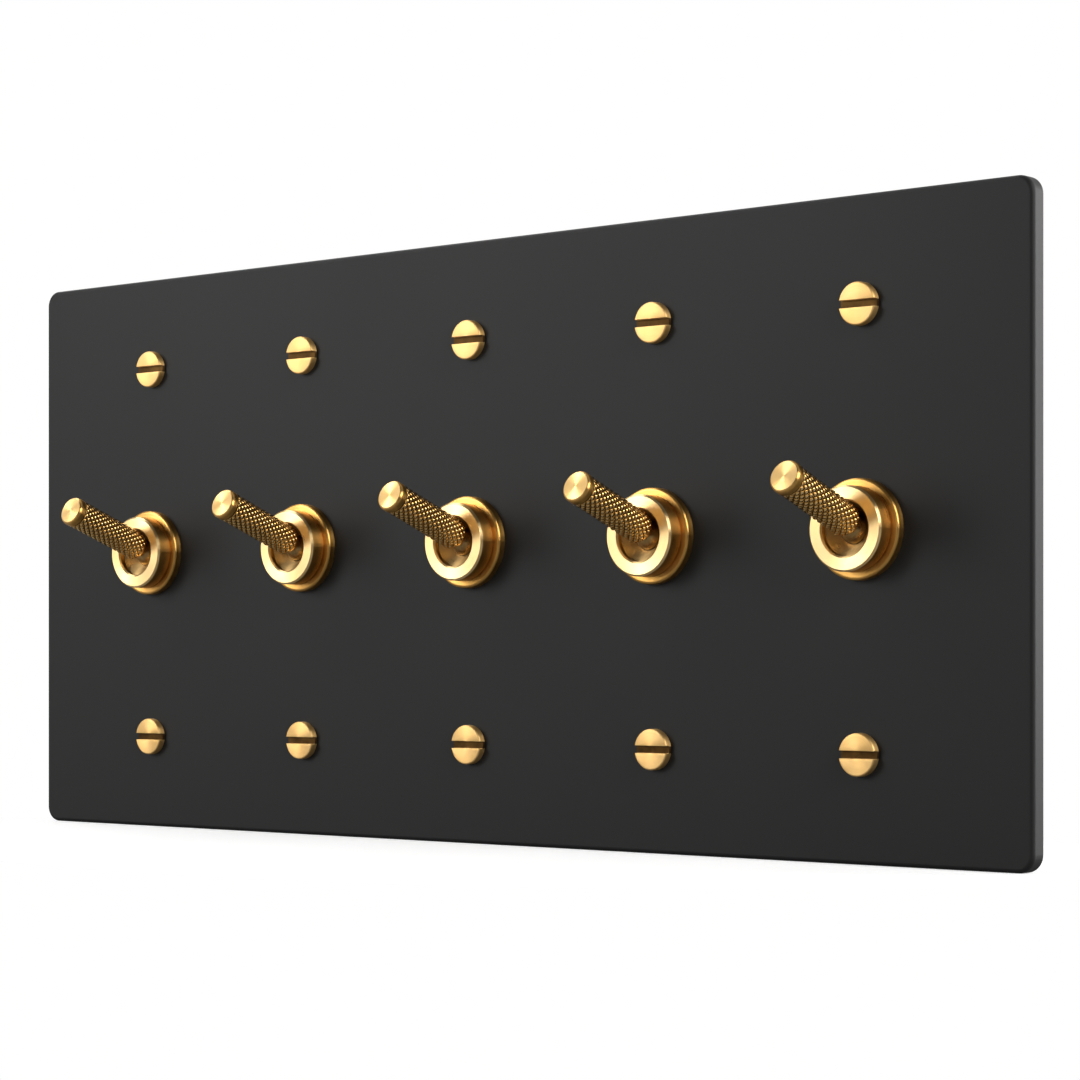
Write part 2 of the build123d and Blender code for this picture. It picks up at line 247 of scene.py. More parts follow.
def wind(outline, pitch, turns, steps, sides):
    """Winds a closed outline about Z, and closes both ends of what that makes."""
    winding = outline.modifiers.new("winding", "SCREW")
    winding.axis = "Z"
    winding.angle = math.tau
    winding.screw_offset = pitch
    winding.iterations = turns
    winding.steps = steps
    winding.render_steps = steps
    winding.use_merge_vertices = False
    apply(outline, winding)
    edit(outline)
    bpy.ops.mesh.remove_doubles(threshold=MERGE)
    bpy.ops.mesh.fill_holes(sides=sides)
    outwards()


def joined(name, pieces):
    """Joins pieces into the first one."""
    bpy.ops.object.select_all(action="DESELECT")
    for piece in pieces:
        piece.select_set(True)
    bpy.context.view_layer.objects.active = pieces[0]
    bpy.ops.object.join()
    pieces[0].name = name
    return pieces[0]


def smooth_by_angle(piece, degrees):
    """Smooth faces, with edges kept sharp past an angle."""
    pick(piece)
    bpy.ops.object.shade_smooth_by_angle(angle=math.radians(degrees))


def copied(piece, name):
    """A copy with its own mesh."""
    pick(piece)
    bpy.ops.object.duplicate(linked=False)
    twin = bpy.context.object
    twin.name = name
    return twin


def gang_place(gang):
    """A gang's place along the row."""
    return (gang - MIDDLE_GANG) * GANG_PITCH


def leaned(pattern, name, gang):
    """A copy of a piece made along +Z, leaned over on one gang's pivot as its lever is at rest."""
    piece = copied(pattern, name)
    piece.rotation_euler = (LEVER_LEAN, 0, 0)
    piece.location = (gang_place(gang), PIVOT_Y, 0)
    settle(piece)
    return piece


# Knurled lever

def knurled_sleeve():
    """A flat sheet of raised diamonds, wrapped round the bat's axis and closed inside."""
    length = KNURL_END - KNURL_START
    bpy.ops.object.select_all(action="DESELECT")
    bpy.ops.mesh.primitive_grid_add(
        x_subdivisions=KNURL_CELLS,
        y_subdivisions=KNURL_ROWS,
        size=1.0,
        rotation=(math.pi / 2, 0, 0),
    )
    sleeve = bpy.context.object
    sleeve.scale = (math.tau * KNURL_ROOT, length, 1.0)
    settle(sleeve)

    # poke every cell, then dissolve the old cell walls, which leaves a lattice of diamonds
    edit(sleeve)
    bpy.ops.mesh.poke()
    done()
    side = math.tau * KNURL_ROOT / 2 - NEAR
    top = length / 2 - NEAR

    def old_wall(a, b):
        upright = abs(a.x - b.x) < MERGE and abs(a.x) < side
        level = abs(a.z - b.z) < MERGE and abs(a.z) < top
        return upright or level

    choose(sleeve, "EDGE", old_wall)
    bpy.ops.mesh.dissolve_edges(use_verts=False)

    # raise each diamond to a small crown
    bpy.ops.mesh.select_mode(type="FACE")
    bpy.ops.mesh.select_all(action="SELECT")
    for inset, rise in KNURL_SLOPES:
        bpy.ops.mesh.inset(use_individual=True, thickness=inset, depth=rise)
    done()

    # wrap the sheet into a tube
    wrap = sleeve.modifiers.new("wrap", "SIMPLE_DEFORM")
    wrap.deform_method = "BEND"
    wrap.deform_axis = "Z"
    wrap.angle = math.tau
    apply(sleeve, wrap)
    sleeve.location = (0, -KNURL_ROOT, KNURL_START + length / 2)
    settle(sleeve)

    # close its seam, then its ends and its inside
    edit(sleeve)
    bpy.ops.mesh.remove_doubles(threshold=SEAM_MERGE)
    bpy.ops.mesh.select_mode(type="EDGE")
    bpy.ops.mesh.select_all(action="DESELECT")
    bpy.ops.mesh.select_non_manifold(
        extend=False, use_wire=False, use_boundary=True, use_multi_face=False,
        use_non_contiguous=False, use_verts=False,
    )
    shrink = (KNURL_ROOT - SLEEVE_WALL) / KNURL_ROOT
    bpy.ops.mesh.extrude_edges_move()
    bpy.ops.transform.resize(value=(shrink, shrink, 1), center_override=(0, 0, 0))
    bpy.ops.mesh.bridge_edge_loops()
    outwards()
    smooth_by_angle(sleeve, 88)
    return sleeve


def knurled_lever():
    """Knurled bat along +Z with its pivot at the origin: rounded foot, knurl, groove, plain tip."""
    core = KNURL_ROOT - SLEEVE_WALL - SLEEVE_GAP
    foot = KNURL_ROOT - FOOT_UNDERCUT
    section = [(0, STUD_TOP), (STUD_RADIUS, STUD_TOP), (STUD_RADIUS, BAT_START)]
    section += bow(foot - FOOT_ROUND, BAT_START + FOOT_ROUND, FOOT_ROUND, -90, 0, 8)
    section += [
        (foot, KNURL_START - SLEEVE_GAP),
        (core, KNURL_START - SLEEVE_GAP),
        (core, KNURL_END + SLEEVE_GAP),
        (TIP_GROOVE_RADIUS, KNURL_END + SLEEVE_GAP),
        (TIP_GROOVE_RADIUS, BAND_START),
        (BAT_RADIUS - BAND_CHAMFER, BAND_START),
        (BAT_RADIUS, BAND_START + BAND_CHAMFER),
    ]
    shoulder = BAT_REACH - TIP_ROUND * math.sin(math.radians(TIP_TURN))
    section += bow(BAT_RADIUS - TIP_ROUND, shoulder, TIP_ROUND, 0, TIP_TURN, 8)
    section += [(0, BAT_REACH)]
    bar = turned_bar("lever_core", section, LEVER_STEPS)
    smooth_by_angle(bar, 15)
    return joined("knurled_lever", [bar, knurled_sleeve()])


def place_levers():
    """Five knurled levers at their upper rest, each on its own toggle."""
    pattern = knurled_lever()
    wear(pattern, knurled_brass)
    pattern.data.materials.append(faced_tip_brass)
    choose(pattern, "FACE", lambda place: place.z > BAND_START - SLEEVE_GAP)
    pattern.active_material_index = 1
    bpy.ops.object.material_slot_assign()
    done()
    for gang in GANGS:
        lever = leaned(pattern, f"knurled_lever_{gang}", gang)
        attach(lever, f"toggle_{gang}")
        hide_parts(f"lever_{gang}")
    bpy.data.objects.remove(pattern)


# Plunger springs

def coil_spring():
    """Coil of round wire along +Z, with the lever's pivot at the origin."""
    bpy.ops.object.select_all(action="DESELECT")
    bpy.ops.mesh.primitive_circle_add(
        vertices=WIRE_SIDES,
        radius=SPRING_WIRE / 2,
        location=(SPRING_COIL, 0, SPRING_LOW),
        rotation=(math.pi / 2, 0, 0),
    )
    coil = bpy.context.object
    settle(coil)
    wind(coil, (SPRING_HIGH - SPRING_LOW) / SPRING_TURNS, SPRING_TURNS, SPRING_STEPS, WIRE_SIDES)
    smooth_by_angle(coil, 40)
    return coil


def place_springs():
    """Five springs, each in its lever's tail."""
    pattern = coil_spring()
    wear(pattern, spring_wire)
    for gang in GANGS:
        spring = leaned(pattern, f"coil_spring_{gang}", gang)
        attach(spring, f"toggle_{gang}")
        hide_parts(f"plunger_spring_{gang}")
        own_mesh(spring)
    bpy.data.objects.remove(pattern)


# Plate screws

def screw_thread():
    """One helical ridge along -Z, closed at both ends."""
    start = -NECK_LENGTH - THREAD_PITCH * THREAD_LEAD
    turns = int((THREAD_LENGTH - POINT_CHAMFER) / THREAD_PITCH) - 1
    half_foot = THREAD_PITCH * THREAD_HALF_FOOT
    half_crest = THREAD_PITCH * THREAD_HALF_CREST
    bury = THREAD_ROOT - THREAD_BURY
    corners = [
        (bury, start - half_foot),
        (THREAD_RADIUS, start - half_crest),
        (THREAD_RADIUS, start + half_crest),
        (bury, start + half_foot),
    ]
    ridge = drawn("screw_thread", corners)
    bpy.ops.mesh.edge_face_add()
    bpy.ops.mesh.delete(type="ONLY_FACE")
    done()
    wind(ridge, -THREAD_PITCH, turns, THREAD_STEPS, len(corners))
    smooth_by_angle(ridge, 30)
    return ridge


def saw_slot(screw):
    """Saws the slot across a screw's head, and closes the slot's walls and floor."""
    half = SLOT_WIDTH / 2

    def spoke(a, b):
        return min(a.z, b.z) > HEAD_HEIGHT - NEAR and min(a.xy.length, b.xy.length) < NEAR

    def on_floor(place):
        return abs(place.z - SLOT_FLOOR) < NEAR

    def on_wall(place, side):
        return abs(place.y - side * half) < NEAR

    # the top's wedges become one face
    choose(screw, "EDGE", spoke)
    bpy.ops.mesh.dissolve_edges(use_verts=True)
    done()

    # cut round the slot, and take out what lies in it
    choose(screw, "FACE", lambda place: place.z > HEAD_CHAMFER)
    bpy.ops.mesh.bisect(plane_co=(0, 0, SLOT_FLOOR), plane_no=(0, 0, 1), threshold=MERGE)
    done()
    for side in (-1, 1):
        choose(screw, "FACE", lambda place: place.z > SLOT_FLOOR)
        bpy.ops.mesh.bisect(plane_co=(0, side * half, 0), plane_no=(0, 1, 0), threshold=MERGE)
        done()
    choose(screw, "FACE", lambda place: place.z > SLOT_FLOOR and abs(place.y) < half)
    bpy.ops.mesh.delete(type="FACE")
    done()

    # each wall gets its lower edge and then its face; the floor lies between them
    for side in (-1, 1):
        choose(screw, "VERT", lambda place: on_wall(place, side) and on_floor(place))
        bpy.ops.mesh.edge_face_add()
        done()
        choose(screw, "VERT", lambda place: on_wall(place, side) and place.z > SLOT_FLOOR - NEAR)
        bpy.ops.mesh.edge_face_add()
        done()
    choose(screw, "VERT", lambda place: on_floor(place) and abs(place.y) < half + NEAR)
    bpy.ops.mesh.edge_face_add()
    outwards()


def slotted_screw():
    """Slotted screw with its head's underside at the origin and its head along +Z."""
    tip = -NECK_LENGTH - THREAD_LENGTH
    section = [(0, tip), (THREAD_ROOT - POINT_CHAMFER, tip), (THREAD_ROOT, tip + POINT_CHAMFER)]
    section += [(THREAD_ROOT, -NECK_LENGTH), (NECK_RADIUS, -NECK_LENGTH), (NECK_RADIUS, 0)]
    section += [(HEAD_RADIUS - HEAD_CHAMFER, 0), (HEAD_RADIUS, HEAD_CHAMFER)]
    section += bow(HEAD_RADIUS - HEAD_ROUND, HEAD_HEIGHT - HEAD_ROUND, HEAD_ROUND, 0, 90, 6)
    section += [(0, HEAD_HEIGHT)]
    screw = turned_bar("screw_blank", section, SCREW_STEPS)
    saw_slot(screw)
    edit(screw)
    bpy.ops.mesh.dissolve_limited(angle_limit=math.radians(1))
    done()
    # break the slot's sharp edges
    soften = screw.modifiers.new("soften", "BEVEL")
    soften.width = BREAK_EDGE
    soften.segments = 3
    soften.limit_method = "ANGLE"
    soften.angle_limit = math.radians(50)
    apply(screw, soften)
    smooth_by_angle(screw, 25)
    return joined("slotted_screw", [screw, screw_thread()])


def place_screws():
    """Ten slotted screws in one piece, with their slots level."""
    pattern = slotted_screw()
    screws = []
    for side in (-1, 1):
        for gang in GANGS:
            screw = copied(pattern, f"screw_{gang}_{side}")
            screw.rotation_euler = (math.pi / 2, 0, 0)
            screw.location = (gang_place(gang), PLATE_FRONT, side * SCREW_RISE)
            settle(screw)
            screws.append(screw)
    bpy.data.objects.remove(pattern)
    row = joined("slotted_plate_screws", screws)
    wear(row, screw_brass)
    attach(row, "plate")
    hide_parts("plate_screws")


# Finishes

# Brass tones, from near black to a pale face; the darker ones also give the painted shade in the
# knurl's grooves (with oxide there), the screw slots, the bores, the collar flanks and the tip bands
BRASS_BLACK = (0.035, 0.018, 0.006)
BRASS_DARK = (0.15, 0.078, 0.022)
BORE_SHADE_DARK = (0.34, 0.215, 0.085)
BRASS_DEEP = (0.42, 0.23, 0.06)
BORE_SHADE_LIGHT = (0.52, 0.335, 0.13)
BRASS_BROWN = (0.54, 0.29, 0.07)
BRASS_RICH = (0.70, 0.385, 0.105)
BRASS_WARM = (0.80, 0.50, 0.175)
BRASS_PALE = (0.86, 0.575, 0.24)
BRASS_BRIGHT = (0.92, 0.67, 0.33)

# Scales of the patterns in the finishes, per metre
TOOL_MARKS = 9000.0
LATHE_CLOUD = 260.0
KNURL_CLOUD = 700.0
TIP_CLOUD = 500.0
PAINT_GRAIN = 5200.0
PAINT_CLOUD = 14.0
DRAWN_LINES = 5200.0
STRIP_CLOUD = 320.0
MOULD_SPECKLE = 2600.0
MOULD_CLOUD = 60.0
FLOOR_CLOUD = 3.0

# Where a noise pattern's low and high tones lie
NOISE_LOW = 0.3
NOISE_HIGH = 0.7

# How far a lathe's tool marks lean from the spokes along the axis, and how drawn out the patterns are
MARK_LEAN = 0.8
RING_STRETCH = 0.3
LINE_STRETCH = 0.06

# Depths over which one tone of the brass gives way to another; the collar, slot and band fades bound
# painted shade
COLLAR_FADE = (0.36 * MM, 0.6 * MM)
SLOT_SIDE_FADE = 0.06 * MM
SLOT_TOP_FADE = (0.12 * MM, 0.4 * MM)
CROWN_RUB = 0.02 * MM
FOOT_FADE = 0.1 * MM
FOOT_WORN = 0.66
BAND_FADE = (0.5 * MM, 0.1 * MM)


def wear(piece, finish):
    """Gives a piece one finish all over."""
    piece.data.materials.clear()
    piece.data.materials.append(finish)


class Bench:
    """Builds nodes in one node tree out of numbers, colours and other nodes' outputs."""

    def __init__(self, tree):
        self.nodes = tree.nodes
        self.links = tree.links

    def put(self, source, socket):
        """Feeds a socket from a number, a colour or another node's output."""
        if isinstance(source, (int, float, tuple)):
            socket.default_value = source
        else:
            self.links.new(source, socket)

    def math(self, operation, a, b=0.0):
        node = self.nodes.new("ShaderNodeMath")
        node.operation = operation
        for source, socket in zip((a, b), node.inputs):
            self.put(source, socket)
        return node.outputs[0]

    def spread(self, source, low, high, to_low, to_high):
        """Maps a value from one span to another, held at the ends."""
        node = self.nodes.new("ShaderNodeMapRange")
        for socket, value in zip(node.inputs, (source, low, high, to_low, to_high)):
            self.put(value, socket)
        return node.outputs[0]

    def split(self, source):
        """The X, Y and Z of a vector."""
        node = self.nodes.new("ShaderNodeSeparateXYZ")
        self.links.new(source, node.inputs[0])
        return node.outputs[:3]


class Mix(Bench):
    """A bench for one finish, whose patterns lie in the object's own place."""

    def __init__(self, name, metallic, constants=None):
        self.finish = bpy.data.materials.new(name)
        self.finish.use_nodes = True
        super().__init__(self.finish.node_tree)
        self.shader = self.nodes["Principled BSDF"]
        self.shader.inputs["Metallic"].default_value = metallic
        for socket, value in (constants or {}).items():
            self.shader.inputs[socket].default_value = value
        self.where = self.nodes.new("ShaderNodeTexCoord").outputs["Object"]

    def vector(self, operation, a, b=(0.0, 0.0, 0.0)):
        node = self.nodes.new("ShaderNodeVectorMath")
        node.operation = operation
        self.put(a, node.inputs[0])
        self.put(b, node.inputs[1])
        one_number = operation in ("LENGTH", "DOT_PRODUCT")
        return node.outputs["Value" if one_number else "Vector"]

    def merge(self, x, y, z):
        """A vector from its X, Y and Z."""
        node = self.nodes.new("ShaderNodeCombineXYZ")
        for source, socket in zip((x, y, z), node.inputs):
            self.put(source, socket)
        return node.outputs[0]

    def noise(self, scale, detail=3.0, roughness=0.6, at=None):
        node = self.nodes.new("ShaderNodeTexNoise")
        node.inputs["Scale"].default_value = scale
        node.inputs["Detail"].default_value = detail
        node.inputs["Roughness"].default_value = roughness
        self.links.new(at or self.where, node.inputs["Vector"])
        return node.outputs["Fac"]

    def swing(self, pattern, low, high):
        """A value that goes from low to high with a noise pattern."""
        return self.spread(pattern, NOISE_LOW, NOISE_HIGH, low, high)

    def shades(self, source, *stops):
        """A colour ramp from (place, colour) stops."""
        node = self.nodes.new("ShaderNodeValToRGB")
        ramp = node.color_ramp.elements
        while len(ramp) < len(stops):
            ramp.new(0.5)
        for element, (place, colour) in zip(ramp, stops):
            element.position = place
            element.color = (*colour, 1.0)
        self.links.new(source, node.inputs["Fac"])
        return node.outputs["Color"]

    def tones(self, pattern, dark, light):
        """A colour that goes from dark to light with a noise pattern."""
        return self.shades(pattern, (NOISE_LOW, dark), (NOISE_HIGH, light))

    def blend(self, share, low, high):
        """One colour over another by a share from 0 to 1."""
        node = self.nodes.new("ShaderNodeMix")
        node.data_type = "RGBA"
        self.links.new(share, node.inputs[0])
        self.links.new(low, node.inputs[6])
        self.links.new(high, node.inputs[7])
        return node.outputs[2]

    def bump(self, height, strength, depth):
        node = self.nodes.new("ShaderNodeBump")
        node.inputs["Strength"].default_value = strength
        node.inputs["Distance"].default_value = depth
        self.links.new(height, node.inputs["Height"])
        self.links.new(node.outputs["Normal"], self.shader.inputs["Normal"])

    def colour(self, source):
        self.put(source, self.shader.inputs["Base Color"])

    def roughness(self, source):
        self.put(source, self.shader.inputs["Roughness"])

    def tangent(self, source):
        """Sets the direction in which the tool marks spread the light."""
        self.links.new(self.vector("NORMALIZE", source), self.shader.inputs["Tangent"])

    def from_gang(self, source):
        """How far a place lies, along the row, from the middle of its own gang."""
        gang = self.math("ROUND", self.math("DIVIDE", source, GANG_PITCH))
        return self.math("SUBTRACT", source, self.math("MULTIPLY", gang, GANG_PITCH))


def collar_flank_shade(mix, y, tone, cloud):
    """Keeps the collar's ring face pale and paints the flanks behind it brown, as painted shade from
    the ring.
    """
    start, end = COLLAR_FADE
    behind = mix.spread(y, COLLAR_FRONT + start, COLLAR_FRONT + end, 0.0, 1.0)
    return mix.blend(behind, tone, mix.tones(cloud, BRASS_BROWN, BRASS_RICH))


def slot_painted_shade(mix, y, up, tone, cloud):
    """Paints shade into the slot of a screw's head: darker between its walls and deeper in."""
    half = SLOT_WIDTH / 2
    top = PLATE_FRONT - HEAD_HEIGHT
    start, end = SLOT_TOP_FADE
    within = mix.spread(mix.math("ABSOLUTE", up), half, half - SLOT_SIDE_FADE, 0.0, 1.0)
    below = mix.spread(y, top + start, top + end, 0.0, 1.0)
    slot_shade = mix.math("MULTIPLY", within, below)
    return mix.blend(slot_shade, tone, mix.shades(cloud, (NOISE_LOW, BRASS_BLACK), (0.8, BRASS_DARK)))


def lathe_finish(name, dark, light, screws=False, collars=False):
    """Satin brass turned about each gang's axis, or about each screw's own."""
    mix = Mix(name, 1.0, {"Anisotropic": 0.5 if screws else 0.8})
    x, y, z = mix.split(mix.where)
    up = z
    if screws:
        up = mix.math("SUBTRACT", z, mix.math("MULTIPLY", mix.math("SIGN", z), SCREW_RISE))
    spoke = mix.merge(mix.from_gang(x), 0.0, up)
    # marks run round the faces and round the sides alike
    mix.tangent(mix.vector("ADD", mix.vector("NORMALIZE", spoke), (0.0, MARK_LEAN, 0.0)))
    rings = mix.merge(mix.vector("LENGTH", spoke), mix.math("MULTIPLY", y, RING_STRETCH), 0.0)
    marks = mix.noise(TOOL_MARKS, 2.0, at=rings)
    cloud = mix.noise(LATHE_CLOUD, 4.0)
    tone = mix.tones(cloud, dark, light)
    rough = mix.math("ADD", mix.swing(marks, 0.24, 0.34), mix.swing(cloud, 0.0, 0.05))
    # the collars' flanks behind the ring face get painted shade
    if collars:
        tone = collar_flank_shade(mix, y, tone, cloud)
    # each screw's slot gets painted shade
    if screws:
        tone = slot_painted_shade(mix, y, up, tone, cloud)
        rough = mix.math("ADD", rough, 0.2)
    mix.colour(tone)
    mix.roughness(rough)
    mix.bump(marks, 0.12, 0.04 * MM)
    return mix.finish


def lever_place(mix):
    """A place on a lever: how far along its axis, how far from it, and the way out from it."""
    x, y, z = mix.split(mix.where)
    place = mix.merge(mix.from_gang(x), mix.math("SUBTRACT", y, PIVOT_Y), z)
    reach = mix.vector("DOT_PRODUCT", place, LEVER_AXIS)
    foot = mix.vector("MULTIPLY", mix.merge(reach, reach, reach), LEVER_AXIS)
    spoke = mix.vector("SUBTRACT", place, foot)
    return reach, mix.vector("LENGTH", spoke), spoke


def knurl_finish():
    """Knurled brass: bright rubbed crowns, darker towards the groove roots, partly oxide and partly
    painted shade.
    """
    mix = Mix("knurled_brass", 1.0)
    reach, radius, _ = lever_place(mix)
    raised = mix.spread(radius, KNURL_ROOT, BAT_RADIUS - CROWN_RUB, 0.0, 1.0)
    # the plain foot is a little duller than the crowns
    foot = mix.spread(reach, KNURL_START, KNURL_START - FOOT_FADE, 0.0, FOOT_WORN)
    cloud = mix.noise(KNURL_CLOUD)
    wear_and_shade = mix.math("ADD", mix.math("MAXIMUM", raised, foot), mix.swing(cloud, -0.06, 0.03))
    # the tone darkens towards the groove roots: partly oxide there, partly painted shade
    mix.colour(mix.shades(
        wear_and_shade,
        (0.0, BRASS_BLACK),
        (0.12, BRASS_DARK),
        (0.26, BRASS_DEEP),
        (0.45, BRASS_RICH),
        (0.8, BRASS_PALE),
    ))
    mix.roughness(mix.spread(wear_and_shade, 0.3, 0.9, 0.34, 0.16))
    mix.bump(cloud, 0.04, 0.04 * MM)
    return mix.finish


def tip_finish():
    """Brass faced on the lathe, across the lever's tip and round its plain band."""
    mix = Mix("faced_tip_brass", 1.0, {"Anisotropic": 0.8})
    reach, radius, spoke = lever_place(mix)
    lean = tuple(-MARK_LEAN * part for part in LEVER_AXIS)
    mix.tangent(mix.vector("ADD", mix.vector("NORMALIZE", spoke), lean))
    rings = mix.merge(radius, mix.math("MULTIPLY", reach, RING_STRETCH), 0.0)
    marks = mix.noise(TOOL_MARKS, 2.0, at=rings)
    cloud = mix.noise(TIP_CLOUD)
    # the band and shoulder round the face are painted browner than the face, as painted shade
    start, end = BAND_FADE
    band = mix.spread(radius, BAT_RADIUS - start, BAT_RADIUS - end, 0.0, 1.0)
    face = mix.tones(cloud, BRASS_WARM, BRASS_PALE)
    mix.colour(mix.blend(band, face, mix.tones(cloud, BRASS_BROWN, BRASS_RICH)))
    mix.roughness(mix.swing(marks, 0.29, 0.35))
    mix.bump(marks, 0.02, 0.03 * MM)
    return mix.finish


def plate_finish():
    """Matte black paint with a very fine even grain and a faint cloud."""
    mix = Mix("matte_black_plate", 0.0, {"IOR": 1.30})
    cloud = mix.noise(PAINT_CLOUD, 4.0, 0.55)
    grain = mix.noise(PAINT_GRAIN)
    mix.colour(mix.tones(cloud, (0.0125, 0.0125, 0.0122), (0.0155, 0.0154, 0.0151)))
    mix.roughness(mix.math("ADD", mix.swing(grain, 0.50, 0.56), mix.swing(cloud, -0.02, 0.02)))
    mix.bump(grain, 0.10, 0.04 * MM)
    return mix.finish


def rolled_finish(name, dark, light, rough_low, rough_high):
    """Rolled metal strip with fine drawn lines and a mottled tone."""
    mix = Mix(name, 1.0)
    x, y, z = mix.split(mix.where)
    along = mix.math("MULTIPLY", z, LINE_STRETCH)
    lines = mix.noise(DRAWN_LINES, 2.0, at=mix.merge(x, y, along))
    cloud = mix.noise(STRIP_CLOUD, 4.0)
    mix.colour(mix.tones(cloud, dark, light))
    mix.roughness(mix.swing(lines, rough_low, rough_high))
    mix.bump(lines, 0.10, 0.03 * MM)
    return mix.finish


def moulding_finish():
    """Black moulded thermoset with a fine spark-eroded texture."""
    mix = Mix("black_moulding", 0.0, {"IOR": 1.5})
    speckle = mix.noise(MOULD_SPECKLE)
    cloud = mix.noise(MOULD_CLOUD, 4.0)
    mix.colour(mix.tones(cloud, (0.016, 0.016, 0.0165), (0.026, 0.026, 0.0265)))
    mix.roughness(mix.swing(speckle, 0.42, 0.56))
    mix.bump(speckle, 0.18, 0.06 * MM)
    return mix.finish


turned_brass = lathe_finish("turned_brass", BRASS_PALE, BRASS_BRIGHT, collars=True)
# the bushings and balls down in the collars' bores wear darker brass, as painted shade for the bore
bore_shaded_brass = lathe_finish("bore_shaded_brass", BORE_SHADE_DARK, BORE_SHADE_LIGHT)
screw_brass = lathe_finish("screw_brass", BRASS_WARM, BRASS_PALE, screws=True)
knurled_brass = knurl_finish()
faced_tip_brass = tip_finish()
matte_black = plate_finish()
rolled_brass = rolled_finish("rolled_brass", (0.62, 0.40, 0.13), (0.74, 0.50, 0.19), 0.26, 0.40)
contact_copper = rolled_finish("contact_copper", (0.66, 0.29, 0.15), (0.78, 0.38, 0.21), 0.24, 0.38)
zinc_steel = rolled_finish("zinc_steel", (0.44, 0.44, 0.42), (0.58, 0.58, 0.55), 0.26, 0.42)
spring_wire = rolled_finish("spring_wire", (0.38, 0.38, 0.38), (0.50, 0.50, 0.50), 0.18, 0.30)
black_moulding = moulding_finish()

finish_of_slot = {
    "plate_finish": matte_black,
    "brass": turned_brass,
    "knurled_brass": knurled_brass,
    "terminal_brass": rolled_brass,
    "contact_copper": contact_copper,
    "steel": zinc_steel,
    "spring_steel": spring_wire,
    "moulding": black_moulding,
}
for row in frame["record"]["subparts"]:
    wear(frame["nodes"][row["node"]], finish_of_slot[row["material_slot"]])
# the bushing and ball in each bore get the darker brass, painted shade
for gang in GANGS:
    for seat in ("bushing", "pivot_ball"):
        wear(frame["nodes"][f"{seat}_{gang}"], bore_shaded_brass)

place_levers()
place_springs()
place_screws()


# Studio

FLOOR_SIZE = 8.0
FLOOR_GAP = 0.05 * MM
FLOOR_GLOW = 0.42
FLOOR_MIRRORED = 0.08
# the floor's shadow fades out between these two distances from the plate's middle
FLOOR_FADE = (0.119, 0.136)
FLOOR_STRETCH = (1.0, 1.4, 0.0)

# The room by direction: where a change of light starts and ends, and the level at either
BEHIND = (-0.15, 0.35, 0.03, 1.0)
HORIZON = (0.0, 0.4, 0.08, 0.0)
RIGHT = (0.0, 0.5, 0.0, 1.0)
FRONT = (-0.90, -0.985, 0.0, 0.75)
FILL_LEVEL = 0.06

# Soft lamps: name, place, width, height and watts; each is turned towards the plate's middle
LAMPS = (
    ("key", (-0.80, -0.95, 0.125), 0.8, 0.7, 4.2),
    ("spot", (-0.74, -0.88, 0.40), 0.4, 0.4, 3.8),
    ("upper", (-0.81, -0.71, 0.64), 0.8, 0.5, 1.6),
    ("top", (-0.62, -0.05, 0.80), 0.7, 0.4, 3.0),
    ("flank", (0.985, -0.18, 0.457), 0.6, 0.6, 9.0),
    ("rim", (0.80, 0.90, 0.10), 0.7, 0.9, 18.0),
)

# Camera fitted to the photo's plate edges and screws
EYE = (0.3874, -0.4361, -0.02225)
LOOK = (-0.6494, 0.7604, 0.0)
LENS = 98.8
SENSOR = 36.0
SHIFT_UP = 0.1074
NEAREST = 0.01


def studio_floor():
    """Pale floor that the plate stands on; it keeps the shadow and fades into the white behind."""
    bpy.ops.object.select_all(action="DESELECT")
    bpy.ops.mesh.primitive_plane_add(size=FLOOR_SIZE, location=(0, 0, cad_low.z - FLOOR_GAP))
    floor = bpy.context.object
    floor.name = "studio_floor"
    settle(floor)
    mix = Mix("pale_floor", 0.0)
    ray = mix.nodes.new("ShaderNodeLightPath").outputs
    # seen by the camera the floor is pale; what it throws back onto the brass is held low
    cloud = mix.noise(FLOOR_CLOUD, roughness=0.5)
    pale = mix.tones(cloud, (0.82, 0.82, 0.82), (0.85, 0.85, 0.85))
    dim = mix.tones(cloud, (0.21, 0.21, 0.21), (0.23, 0.23, 0.23))
    mix.colour(mix.blend(ray["Is Camera Ray"], dim, pale))
    mix.roughness(0.9)
    shiny = mix.math("MAXIMUM", ray["Is Glossy Ray"], ray["Is Transmission Ray"])
    seen = mix.math("MAXIMUM", ray["Is Camera Ray"], mix.math("MULTIPLY", shiny, FLOOR_MIRRORED))
    mix.shader.inputs["Emission Color"].default_value = (1, 1, 1, 1)
    mix.put(mix.math("MULTIPLY", seen, FLOOR_GLOW), mix.shader.inputs["Emission Strength"])
    # away from the plate the floor is the same white as what lies behind it
    glow = mix.nodes.new("ShaderNodeEmission")
    fade = mix.nodes.new("ShaderNodeMixShader")
    away = mix.vector("LENGTH", mix.vector("MULTIPLY", mix.where, FLOOR_STRETCH))
    mix.put(mix.math("MULTIPLY", seen, mix.spread(away, *FLOOR_FADE, 0.0, 1.0)), fade.inputs[0])
    mix.links.new(mix.shader.outputs[0], fade.inputs[1])
    mix.links.new(glow.outputs[0], fade.inputs[2])
    mix.links.new(fade.outputs[0], mix.nodes["Material Output"].inputs["Surface"])
    wear(floor, mix.finish)


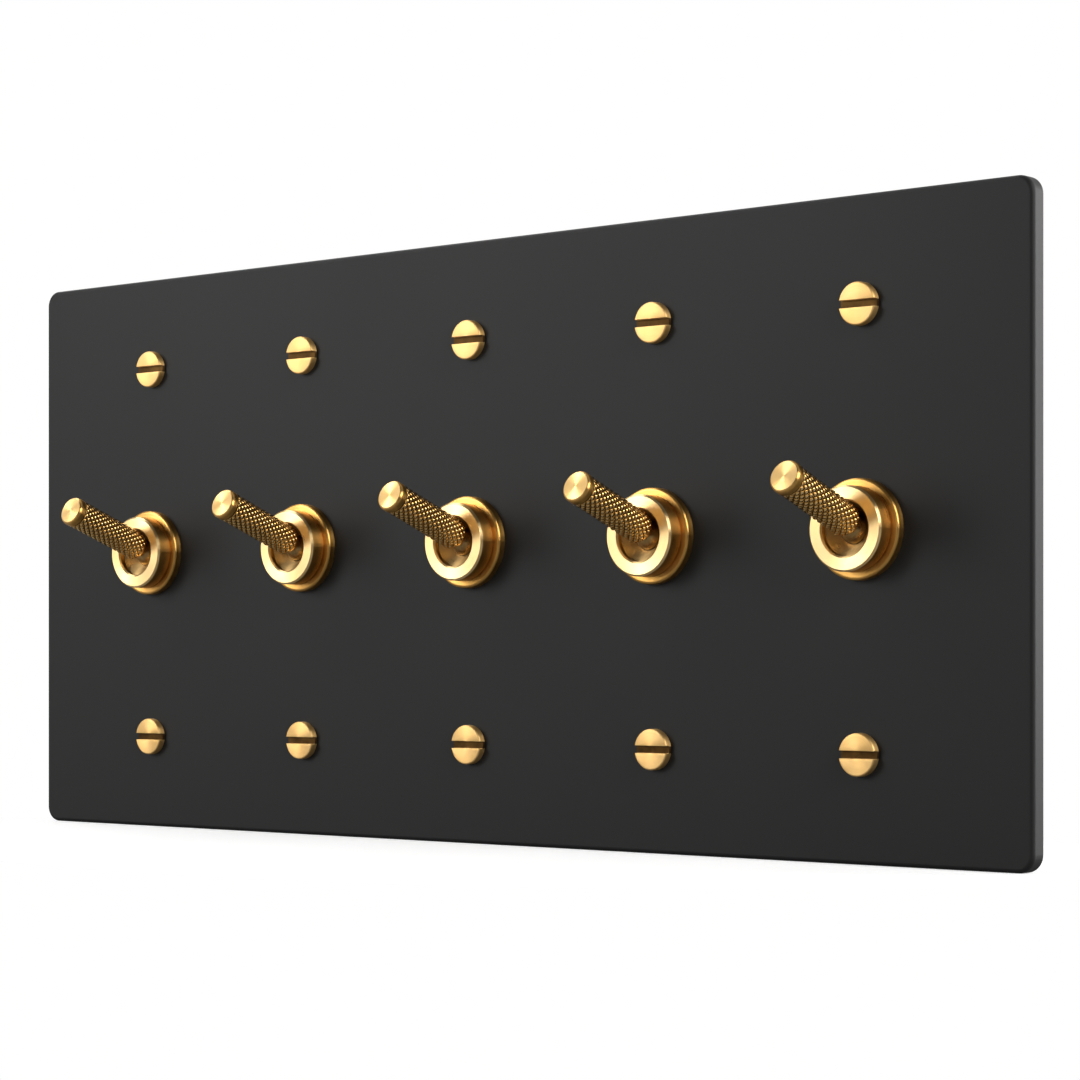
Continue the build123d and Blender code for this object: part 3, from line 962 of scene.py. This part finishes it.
def studio_world():
    """White behind the object, a dimmer room on the camera's side, soft grey for the fill."""
    world = bpy.data.worlds.new("studio")
    bpy.context.scene.world = world
    world.use_nodes = True
    bench = Bench(world.node_tree)
    ray = bench.nodes.new("ShaderNodeLightPath").outputs
    x, y, z = bench.split(bench.nodes.new("ShaderNodeTexCoord").outputs["Generated"])
    # white behind, and a glow along the horizon at the right that dies away upwards
    glow = bench.math("MULTIPLY", bench.spread(z, *HORIZON), bench.spread(x, *RIGHT))
    room = bench.math("MAXIMUM", bench.spread(y, *BEHIND), glow)
    # a soft patch straight in front, which the brass faces mirror when the plate is seen head on
    room = bench.math("MAXIMUM", room, bench.spread(y, *FRONT))
    # mirrors show the room, the camera sees plain white, and all else gets the fill
    shiny = bench.math("MAXIMUM", ray["Is Glossy Ray"], ray["Is Transmission Ray"])
    strength = bench.spread(shiny, 0.0, 1.0, FILL_LEVEL, room)
    strength = bench.spread(ray["Is Camera Ray"], 0.0, 1.0, strength, 1.0)
    background = bench.nodes["Background"]
    background.inputs["Color"].default_value = (1, 1, 1, 1)
    bench.put(strength, background.inputs["Strength"])


def softbox(name, place, width, height, watts):
    """One soft rectangular lamp turned towards the plate's middle."""
    lamp = bpy.data.lights.new(name, "AREA")
    lamp.shape = "RECTANGLE"
    lamp.size = width
    lamp.size_y = height
    lamp.energy = watts
    box = bpy.data.objects.new(name, lamp)
    box.location = place
    box.rotation_euler = (-Vector(place)).to_track_quat("-Z", "Y").to_euler()
    box.visible_camera = False
    bpy.context.scene.collection.objects.link(box)


def camera():
    """Level camera to the right of the plate, raised in the frame by its shift."""
    lens = bpy.data.cameras.new("camera")
    lens.sensor_width = SENSOR
    lens.lens = LENS
    lens.shift_y = SHIFT_UP
    lens.clip_start = NEAREST
    eye = bpy.data.objects.new("camera", lens)
    eye.location = EYE
    eye.rotation_euler = Vector(LOOK).to_track_quat("-Z", "Y").to_euler()
    bpy.context.scene.collection.objects.link(eye)
    bpy.context.scene.camera = eye


studio_floor()
studio_world()
for lamp in LAMPS:
    softbox(*lamp)
camera()
bpy.context.scene.view_settings.view_transform = "Standard"
